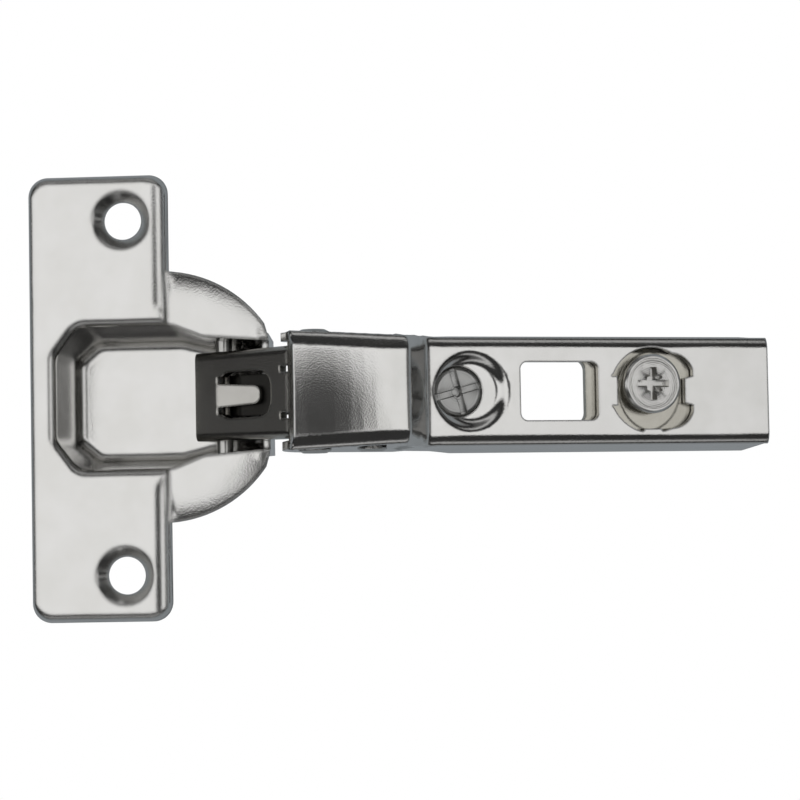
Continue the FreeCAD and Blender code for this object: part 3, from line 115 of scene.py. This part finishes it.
def plated_steel(name, light, dark, roughness, fold_mm=0.0, grain_mm=0.3, grain=0.6, mottle_mm=6.0,
                 rings=None):
    """Nickel plating on pressed steel: a bright satin metal. The strip's rolled grain shows through
    as a fine orange peel, and handling leaves faint cloudy patches of another roughness. The press
    draws the steel softly round its folds, a little wider than the sheet's own corner."""
    material, tree = new_material(name)
    place = add_node(tree, "ShaderNodeTexCoord").outputs["Object"]
    patches = add_node(tree, "ShaderNodeTexNoise", {"Scale": 1 / (mottle_mm * MM), "Detail": 3.0,
                                                    "Roughness": 0.55}, {"Vector": place})
    colour = add_node(tree, "ShaderNodeValToRGB", links={"Fac": patches.outputs["Fac"]})
    ramp_stops(colour, [(0.32, dark), (0.68, light)])
    shine = add_node(tree, "ShaderNodeMapRange", {"From Min": 0.3, "From Max": 0.7,
                                                  "To Min": roughness * 0.94, "To Max": roughness * 1.08},
                     {"Value": patches.outputs["Fac"]})
    peel = add_node(tree, "ShaderNodeTexNoise", {"Scale": 1 / (grain_mm * MM), "Detail": 2.0,
                                                 "Roughness": 0.6}, {"Vector": place})
    bump = add_node(tree, "ShaderNodeBump", {"Strength": grain, "Distance": 0.02 * MM},
                    {"Height": peel.outputs["Fac"]})
    if fold_mm:
        fold = add_node(tree, "ShaderNodeBevel", {"Radius": fold_mm * MM}, samples=6)
        tree.links.new(fold.outputs["Normal"], bump.inputs["Normal"])
    if rings:
        bump = turned_rings(tree, place, bump, *rings)
    shader = add_node(tree, "ShaderNodeBsdfPrincipled", {"Metallic": 1.0},
                      {"Base Color": colour.outputs["Color"], "Roughness": shine.outputs["Result"],
                       "Normal": bump.outputs["Normal"]})
    add_node(tree, "ShaderNodeOutputMaterial", links={"Surface": shader.outputs["BSDF"]})
    return material


def turned_rings(tree, place, bump, centre, pitch_mm):
    """Rings left by a lathe tool round an axis that leans with the arm."""
    local = add_node(tree, "ShaderNodeMapping", {"Location": centre, "Rotation": (0.0, ARM_FALL, 0.0)},
                     {"Vector": place}, vector_type="TEXTURE")
    rings = add_node(tree, "ShaderNodeTexWave", {"Scale": 1 / (pitch_mm * MM * 3.2), "Distortion": 0.6,
                                                 "Detail": 1.0}, {"Vector": local.outputs["Vector"]},
                     wave_type="RINGS", rings_direction="Z")
    return add_node(tree, "ShaderNodeBump", {"Strength": 0.2, "Distance": 0.03 * MM},
                    {"Height": rings.outputs["Fac"], "Normal": bump.outputs["Normal"]})


def spring_wire(name):
    """Drawn spring wire: darker than plating, with faint lines along it."""
    material, tree = new_material(name)
    place = add_node(tree, "ShaderNodeTexCoord").outputs["Object"]
    lines = add_node(tree, "ShaderNodeTexNoise", {"Scale": 1 / (0.5 * MM), "Detail": 3.0}, {"Vector": place})
    colour = add_node(tree, "ShaderNodeValToRGB", links={"Fac": lines.outputs["Fac"]})
    ramp_stops(colour, [(0.3, "#55534f"), (0.7, "#8a8780")])
    shader = add_node(tree, "ShaderNodeBsdfPrincipled", {"Metallic": 1.0, "Roughness": 0.34},
                      {"Base Color": colour.outputs["Color"]})
    add_node(tree, "ShaderNodeOutputMaterial", links={"Surface": shader.outputs["BSDF"]})
    return material


materials = {
    "nickel_plate": plated_steel("nickel_plated_steel", "#e3e2e0", "#dddcd9", 0.14, fold_mm=0.9),
    "arm_plate": plated_steel("nickel_plated_arm", "#e3e2e0", "#dbdad7", 0.12, fold_mm=0.4, grain_mm=0.24,
                              grain=0.5),
    "dark_link": plated_steel("nickel_plated_link", "#c9c7c2", "#bdbbb6", 0.16, fold_mm=0.5),
    "pin_steel": plated_steel("nickel_plated_pin", "#cfcecb", "#bfbebb", 0.22, fold_mm=0.2, grain_mm=0.2),
    "screw_steel": plated_steel("turned_screw_steel", "#c4c4c2", "#b2b2b0", 0.3, grain=0.3,
                                rings=(screw_axis, 0.35)),
    "cam_zinc": plated_steel("turned_cam", "#e2e1de", "#d8d7d4", 0.26, grain=0.3, rings=(cam_axis, 0.28)),
    "base_plate": plated_steel("warm_plated_steel", "#cfccc2", "#bdbab0", 0.24, fold_mm=0.4),
    "spring_steel": spring_wire("spring_wire"),
}
# Painted shade: the inner link, hidden under the arm, gets a dark grey in place of its plating, standing in for
# the shade it lies in.
shaded_inner_link = plated_steel("inner_link_painted_shade", "#4b4a47", "#3a3937", 0.42, fold_mm=0.2)


# Finish of the frame's own pieces

for entry in frame["record"]["subparts"]:
    node = nodes[entry["node"]]
    node.data.materials.clear()
    node.data.materials.append(materials[entry["material_slot"]])
# the inner link takes the dark painted-shade steel instead of its own plating
nodes["inner_link"].data.materials[0] = shaded_inner_link


# Turned parts that the camera sees closely, each modelled upright and then set in the arm

def arm_matrix(axis, turn):
    """From a part that stands upright at the origin to its place in the arm."""
    return Matrix.Translation(axis) @ ARM_TURN @ Matrix.Rotation(math.radians(turn), 4, "Z")


def deselect():
    if bpy.context.object and bpy.context.object.mode != "OBJECT":
        bpy.ops.object.mode_set(mode="OBJECT")
    bpy.ops.object.select_all(action="DESELECT")


def lathe(name, profile, segments=64):
    """A turned solid from (radius, height) points in millimetres, from the top to the bottom."""
    deselect()
    radius, top = profile[0]
    bpy.ops.mesh.primitive_circle_add(vertices=segments, radius=radius * MM, fill_type="NGON",
                                      location=(0.0, 0.0, top * MM))
    piece = bpy.context.object
    piece.name = name
    bpy.ops.object.transform_apply(location=True)
    bpy.ops.object.mode_set(mode="EDIT")
    bpy.ops.mesh.select_mode(type="EDGE")
    bpy.ops.mesh.select_all(action="SELECT")
    for (before, high), (after, low) in zip(profile, profile[1:]):
        bpy.ops.mesh.extrude_edges_move(TRANSFORM_OT_translate={"value": (0.0, 0.0, (low - high) * MM)})
        bpy.ops.transform.resize(value=(after / before, after / before, 1.0))
    bpy.ops.mesh.edge_face_add()
    bpy.ops.mesh.select_all(action="SELECT")
    bpy.ops.mesh.normals_make_consistent(inside=False)
    bpy.ops.object.mode_set(mode="OBJECT")
    return piece


def block(length, width, depth, top, turn=0.0, lean=0.0):
    """A cutter that stands in the part's top face, leaning about its own length."""
    deselect()
    bpy.ops.mesh.primitive_cube_add(size=1.0, location=(0.0, 0.0, (top - depth / 2 + 0.5) * MM),
                                    rotation=(math.radians(lean), 0.0, math.radians(turn)))
    bpy.context.object.scale = (length * MM, width * MM, (depth + 1.0) * MM)
    bpy.ops.object.transform_apply(location=True, rotation=True, scale=True)
    return bpy.context.object


def cut(piece, cutter):
    change = piece.modifiers.new("cut", "BOOLEAN")
    change.operation = "DIFFERENCE"
    change.solver = "EXACT"
    change.object = cutter
    deselect()
    piece.select_set(True)
    bpy.context.view_layer.objects.active = piece
    bpy.ops.object.modifier_apply(modifier=change.name)
    bpy.data.objects.remove(cutter)


def set_in_arm(piece, matrix, bevel, material, body, node):
    """Round the edges, shade, turn the part into the arm and let it stand for its CAD node."""
    deselect()
    piece.select_set(True)
    bpy.context.view_layer.objects.active = piece
    edges = piece.modifiers.new("edges", "BEVEL")
    edges.width = bevel * MM
    edges.segments = 3
    edges.limit_method = "ANGLE"
    edges.angle_limit = math.radians(40)
    bpy.ops.object.modifier_apply(modifier=edges.name)
    bpy.ops.object.shade_smooth_by_angle(angle=math.radians(35))
    piece.matrix_world = matrix
    bpy.ops.object.transform_apply(location=True, rotation=True, scale=True)
    piece.data.materials.append(material)
    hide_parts(node)
    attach(piece, body)


def adjusting_screw():
    """Set screw in the dimple: four driver slots round a small centre hole."""
    top, radius = 0.8, 3.5
    screw = lathe("adjusting_screw", [(radius - 0.35, top), (radius, top - 0.35), (radius, top - 5.2),
                                      (1.6, top - 5.2), (1.6, top - 7.1), (2.6, top - 7.1), (2.6, top - 8.1)])
    for turn in (0, 90):
        cut(screw, block(9.0, 0.95, 0.8, top, turn))
    cut(screw, lathe("bore", [(0.75, top + 1.0), (0.75, top - 2.0)], 24))
    set_in_arm(screw, arm_matrix(screw_axis, 15.0), 0.08, materials["screw_steel"], "overlay_screw",
               "overlay_screw")


def cam_screw():
    """Cam that shifts the arm on its plate: an offset head with an eight-pointed driver recess."""
    top, under, head_shift = 1.65, 0.45, 0.5
    cam = lathe("cam_screw", [(3.5, top), (3.56, top - 0.12), (3.7, top - 0.12), (3.76, top), (4.05, top),
                              (4.4, top - 0.35), (4.4, under), (3.0, under), (3.0, under - 0.3)])
    for turn in (0, 90):
        cut(cam, block(4.9, 1.0, 1.3, top, turn, 14.0))
        cut(cam, block(3.5, 0.75, 0.9, top, turn + 45, 12.0))
        cut(cam, block(5.3, 0.14, 0.1, top, turn + 45))
    cut(cam, lathe("point", [(1.25, top + 1.0), (1.25, top - 0.3), (0.5, top - 1.15)], 24))
    cam.data.transform(Matrix.Translation((0.0, head_shift * MM, 0.0)))
    stem = lathe("stem", [(3.6, under), (3.6, -0.95), (2.0, -0.95), (2.0, -2.3), (2.9, -2.3), (2.9, -3.1)])
    deselect()
    stem.select_set(True)
    cam.select_set(True)
    bpy.context.view_layer.objects.active = cam
    bpy.ops.object.join()
    set_in_arm(cam, arm_matrix(cam_axis, 0.0), 0.08, materials["cam_zinc"], "depth_cam", "depth_cam")


# The arm's pressed folds

NOSE_END, NOSE_TOP, NOSE_RADIUS = 12.8, 5.6, 75.0
CRANK_END, REAR_TOP = 17.1, -0.6
ARM_SHEET = 1.2
# outer radius of the soft folds on the nose and behind it, and the nose's crown
NOSE_FOLD, REAR_FOLD, NOSE_CROWN = 1.9, 1.45, 0.22
MERGE_MM = 0.001
ALONG, ACROSS = Vector((1.0, 0.0, 0.0)), Vector((0.0, 1.0, 0.0))
# half width at the pins' level and the flare of the walls, at places along the arm
ARM_WALLS = [(-6.0, 8.45, 0.032), (NOSE_END, 8.1, 0.12), (CRANK_END + 2.0, 7.7, 0.106), (74.6, 7.7, 0.106)]


def in_arm(point):
    """A point's place along the arm, across it and above the pins, in millimetres."""
    offset = (point - arm_pivot) / MM
    return offset.dot(arm_along), offset.y, offset.dot(arm_up)


def from_arm(along, across, above):
    return arm_pivot + MM * (along * arm_along + above * arm_up + Vector((0.0, across, 0.0)))


def wall_half(along, above):
    """Half width of the arm's outer face at a place."""
    for (start, half, flare), (end, next_half, next_flare) in zip(ARM_WALLS, ARM_WALLS[1:]):
        if along <= end:
            share = max(0.0, (along - start) / (end - start))
            return half + (next_half - half) * share - (flare + (next_flare - flare) * share) * above
    return 7.7


def below_top(along, above):
    """How far a point lies under the arm's top line, and that line's upward direction there."""
    crank = Vector((CRANK_END - NOSE_END, REAR_TOP - NOSE_TOP))
    normal = Vector((-crank.y, crank.x)).normalized()
    slant = -(Vector((along, above)) - Vector((NOSE_END, NOSE_TOP))).dot(normal)
    if along < NOSE_END:
        run = NOSE_END - along
        level = NOSE_TOP - NOSE_RADIUS + math.sqrt(NOSE_RADIUS ** 2 - run ** 2) - above
        if level < slant + 0.01:
            return level, Vector((-run / NOSE_RADIUS, 1.0)).normalized()
        return slant, normal
    flat = REAR_TOP - above
    return (flat, Vector((0.0, 1.0))) if flat > slant or slant > 4.0 else (slant, normal)


def slice_across(piece, places, axis, chosen=None):
    """Cut the piece's faces, or the chosen ones, along planes, so that it can bend there."""
    deselect()
    piece.select_set(True)
    bpy.context.view_layer.objects.active = piece
    bpy.ops.object.mode_set(mode="EDIT")
    bpy.ops.mesh.select_mode(type="FACE")
    for place in places:
        bpy.ops.mesh.select_all(action="SELECT")
        if chosen:
            bpy.ops.mesh.select_all(action="DESELECT")
            bpy.ops.object.mode_set(mode="OBJECT")
            for face in piece.data.polygons:
                face.select = chosen(face.center, face.normal)
            bpy.ops.object.mode_set(mode="EDIT")
        bpy.ops.mesh.bisect(plane_co=place, plane_no=axis)
    bpy.ops.object.mode_set(mode="OBJECT")


def level_face(centre, normal):
    """Whether a face is level and lies above the door's face."""
    return abs(normal.z) > 0.9 and centre.z > 0.0


def copy_of(node, name):
    """A merged copy of a CAD piece, to be dressed and to stand for it."""
    deselect()
    piece = nodes[node].copy()
    piece.data = nodes[node].data.copy()
    piece.name = name
    bpy.context.scene.collection.objects.link(piece)
    bpy.context.view_layer.objects.active = piece
    piece.select_set(True)
    bpy.ops.object.mode_set(mode="EDIT")
    bpy.ops.mesh.select_all(action="SELECT")
    bpy.ops.mesh.remove_doubles(threshold=MERGE_MM * MM)
    bpy.ops.object.mode_set(mode="OBJECT")
    return piece


def stand_for(piece, node, body):
    """Shade the dressed copy so that its flat faces stay flat, and let it stand for its CAD node."""
    deselect()
    piece.select_set(True)
    bpy.context.view_layer.objects.active = piece
    bpy.ops.mesh.customdata_custom_splitnormals_clear()
    bpy.ops.object.shade_smooth_by_angle(angle=math.radians(32))
    even = piece.modifiers.new("even_normals", "WEIGHTED_NORMAL")
    even.keep_sharp = True
    even.weight = 80
    bpy.ops.object.modifier_apply(modifier=even.name)
    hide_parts(node)
    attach(piece, body)


def pressed_arm():
    """The arm with the wide soft folds that pressing leaves and its nose a little crowned."""
    arm = copy_of("hinge_arm", "pressed_arm")
    middle_cuts = [-4.5, -3.6, -2.7, -1.8, -0.9, 0.0, 0.9, 1.8, 2.7, 3.6, 4.5]
    edge_cuts = [side * (5.4 + 0.3 * step) for side in (-1, 1) for step in range(10)]
    slice_across(arm, [from_arm(0.0, place, 0.0) for place in middle_cuts + edge_cuts], ACROSS)
    rear_levels = [REAR_TOP - 0.3 - 0.3 * step for step in range(7)]
    nose_levels = [1.4 + 0.35 * step for step in range(12)]
    slice_across(arm, [from_arm(0.0, 0.0, level) for level in rear_levels + nose_levels], arm_up)
    crown_cuts = [place * 1.5 for place in range(0, 9)]
    slice_across(arm, [from_arm(place, 0.0, 0.0) for place in crown_cuts], arm_along)
    crown_half, crown_base, crown_fade = 6.6, 0.4, 4.0
    for vertex in arm.data.vertices:
        along, y, above = in_arm(vertex.co)
        beside = wall_half(along, above) - abs(y)
        under, upward = below_top(along, above)
        if under < ARM_SHEET / 2 and along < NOSE_END + 0.5:
            fade = min(1.0, max(0.0, (NOSE_END - along) / crown_fade))
            above += NOSE_CROWN * fade * (max(0.0, 1 - (y / crown_half) ** 2) - crown_base)
        fold = NOSE_FOLD if along < CRANK_END - 1.5 else REAR_FOLD
        if beside < fold and under < fold:
            reach = Vector((fold - beside, fold - under))
            # only the outer skin moves, so that the links keep their room inside
            if reach.length > fold and min(beside, under) < 0.3:
                change = reach * (fold / reach.length) - reach
                y += math.copysign(change.x, y)
                along += upward.x * change.y
                above += upward.y * change.y
        vertex.co = from_arm(along, y, above)
    arm.data.materials[0] = materials["arm_plate"]
    stand_for(arm, "hinge_arm", "arm")


def pressed_cup():
    """The cup with the broad rounded rim that its flange has beside the half disc, and with the
    half disc's own edge drawn down a little."""
    cup = copy_of("hinge_cup", "pressed_cup")
    rim_start, rim_end, rise, sheet, rim_inside = -1.5, 0.75, 2.0, 1.0, 12.6
    rim_cuts = [rim_start + 0.22 * step for step in range(0, 10)]
    slice_across(cup, [Vector((place, 0.0, 0.0)) * MM for place in rim_cuts], ALONG, level_face)
    wing_start, wing_inside, wing_radius, droop, droop_from = 1.4, 8.0, 18.45, 0.5, 0.72
    wing_cuts = [wing_start + 0.9 * step for step in range(0, 17)]
    slice_across(cup, [Vector((place, 0.0, 0.0)) * MM for place in wing_cuts], ALONG, level_face)
    side_cuts = [side * (9.4 + 0.9 * step) for side in (-1, 1) for step in range(0, 10)]
    slice_across(cup, [Vector((0.0, place, 0.0)) * MM for place in side_cuts], ACROSS, level_face)
    for vertex in cup.data.vertices:
        x, y, z = vertex.co / MM
        far = math.hypot(x, y) / wing_radius
        if x > wing_start and abs(y) > wing_inside and z > 0.4 and far > droop_from:
            vertex.co.z -= droop * ((far - droop_from) / 0.28) ** 2 * MM
        elif rim_start < x < rim_end + 0.6 and z > sheet + 0.05 and abs(y) > rim_inside:
            share = min(1.0, (x - rim_start) / (rim_end - rim_start))
            level = sheet + (rise - sheet) * math.sqrt(max(0.0, 1 - share ** 2))
            vertex.co.z = min(z, level) * MM
    stand_for(cup, "hinge_cup", "cup")


def base_channel():
    """The base, as broad as the arm leaves room for, so that no light shows beside it."""
    base = copy_of("base_slide", "base_channel")
    half, wanted_half = 6.1, 6.55
    broader = wanted_half / half
    for vertex in base.data.vertices:
        vertex.co.y *= broader
    stand_for(base, "base_slide", "base")


adjusting_screw()
cam_screw()
pressed_arm()
pressed_cup()
base_channel()


# Stage: a white floor, a grey studio round it and one soft light

def band(tree, angle, places):
    """How bright the studio is at an angle from overhead, from (degrees, grey) places."""
    share = add_node(tree, "ShaderNodeMapRange", {"From Min": -math.pi, "From Max": math.pi},
                     {"Value": angle.outputs["Value"]})
    ramp = add_node(tree, "ShaderNodeValToRGB", links={"Fac": share.outputs["Result"]})
    ramp_stops(ramp, [((degrees + 180) / 360, grey) for degrees, grey in places])
    return ramp.outputs["Color"]


def world_light():
    """Studio for metal: a long soft box overhead that lies along the hinge, black cloth beside it,
    a narrow strip low on each side, and a soft dark patch where the camera stands."""
    world = bpy.data.worlds.new("studio")
    bpy.context.scene.world = world
    world.use_nodes = True
    tree = world.node_tree
    tree.nodes.clear()
    direction = add_node(tree, "ShaderNodeTexCoord").outputs["Generated"]
    parts = add_node(tree, "ShaderNodeSeparateXYZ", links={"Vector": direction})
    along = add_node(tree, "ShaderNodeMath", links={0: parts.outputs["X"], 1: parts.outputs["Z"]},
                     operation="ARCTAN2")
    across = add_node(tree, "ShaderNodeMath", links={0: parts.outputs["Y"], 1: parts.outputs["Z"]},
                      operation="ARCTAN2")
    lengthwise = band(tree, along, [(-180, 0.3), (-92, 0.3), (-86, 0.14), (-60, 0.05), (-53, 0.8),
                                    (-20, 0.95), (30, 0.95), (53, 0.75), (58, 0.03), (63, 0.04),
                                    (70, 0.26), (92, 0.3), (180, 0.3)])
    sideways = band(tree, across, [(-92, 1.0), (-80, 0.10), (-64, 0.12), (-58, 0.55), (-50, 0.55),
                                   (-44, 0.04), (-16, 0.03), (-12, 1.0), (17, 1.0), (22, 0.03),
                                   (44, 0.04), (50, 0.55), (58, 0.55), (64, 0.12), (80, 0.10),
                                   (92, 1.0)])
    light = add_node(tree, "ShaderNodeMix", {"Factor": 1.0}, {6: lengthwise, 7: sideways},
                     data_type="RGBA", blend_type="MULTIPLY")
    # the camera and whoever stands behind it, as a soft dark patch overhead
    patch = Vector((math.sin(math.radians(14)), math.sin(math.radians(-2)), math.cos(math.radians(14))))
    nearness = add_node(tree, "ShaderNodeVectorMath", {1: patch.normalized()}, {0: direction},
                        operation="DOT_PRODUCT")
    dim = add_node(tree, "ShaderNodeMapRange", {"From Min": math.cos(math.radians(16)),
                                                "From Max": math.cos(math.radians(7)),
                                                "To Min": 1.0, "To Max": 0.06},
                   {"Value": nearness.outputs["Value"]}, interpolation_type="SMOOTHSTEP")
    shine = add_node(tree, "ShaderNodeBackground", links={"Color": light.outputs[2],
                                                          "Strength": dim.outputs["Result"]})
    add_node(tree, "ShaderNodeOutputWorld", links={"Surface": shine.outputs["Background"]})


def floor():
    low = cad_box[0][2]
    bpy.ops.mesh.primitive_plane_add(size=6.0, location=(0.0, 0.0, low - 0.002))
    plane = bpy.context.object
    plane.name = "studio_floor"
    material, tree = new_material("pale_floor")
    seen = add_node(tree, "ShaderNodeLightPath")
    white = add_node(tree, "ShaderNodeEmission", {"Color": (1.0, 1.0, 1.0, 1.0), "Strength": 1.0})
    grey = add_node(tree, "ShaderNodeEmission", {"Color": (0.25, 0.27, 0.285, 1.0), "Strength": 1.0})
    mixed = add_node(tree, "ShaderNodeMixShader", links={"Fac": seen.outputs["Is Camera Ray"],
                                                         1: grey.outputs["Emission"],
                                                         2: white.outputs["Emission"]})
    add_node(tree, "ShaderNodeOutputMaterial", links={"Surface": mixed.outputs["Shader"]})
    plane.data.materials.append(material)


def camera():
    """The photograph's viewpoint, found from the drilling pattern and the cup's outline."""
    turn = [math.radians(angle) for angle in (-3.0, -4.528, 1.05)]
    seen = (Matrix.Rotation(turn[2], 4, "Z") @ Matrix.Rotation(turn[0], 4, "X")
            @ Matrix.Rotation(turn[1], 4, "Y"))
    shift = Vector((-34.786, 0.418, -400.254)) * MM
    data = bpy.data.cameras.new("camera")
    data.sensor_width = 36.0
    data.lens = 36.0 * 6.83 * 400.0 / 800.0
    data.clip_start = 0.01
    body = bpy.data.objects.new("camera", data)
    bpy.context.scene.collection.objects.link(body)
    body.matrix_world = (Matrix.Translation(shift) @ seen).inverted()
    bpy.context.scene.camera = body


bpy.context.scene.view_settings.view_transform = "Standard"
world_light()
floor()
camera()
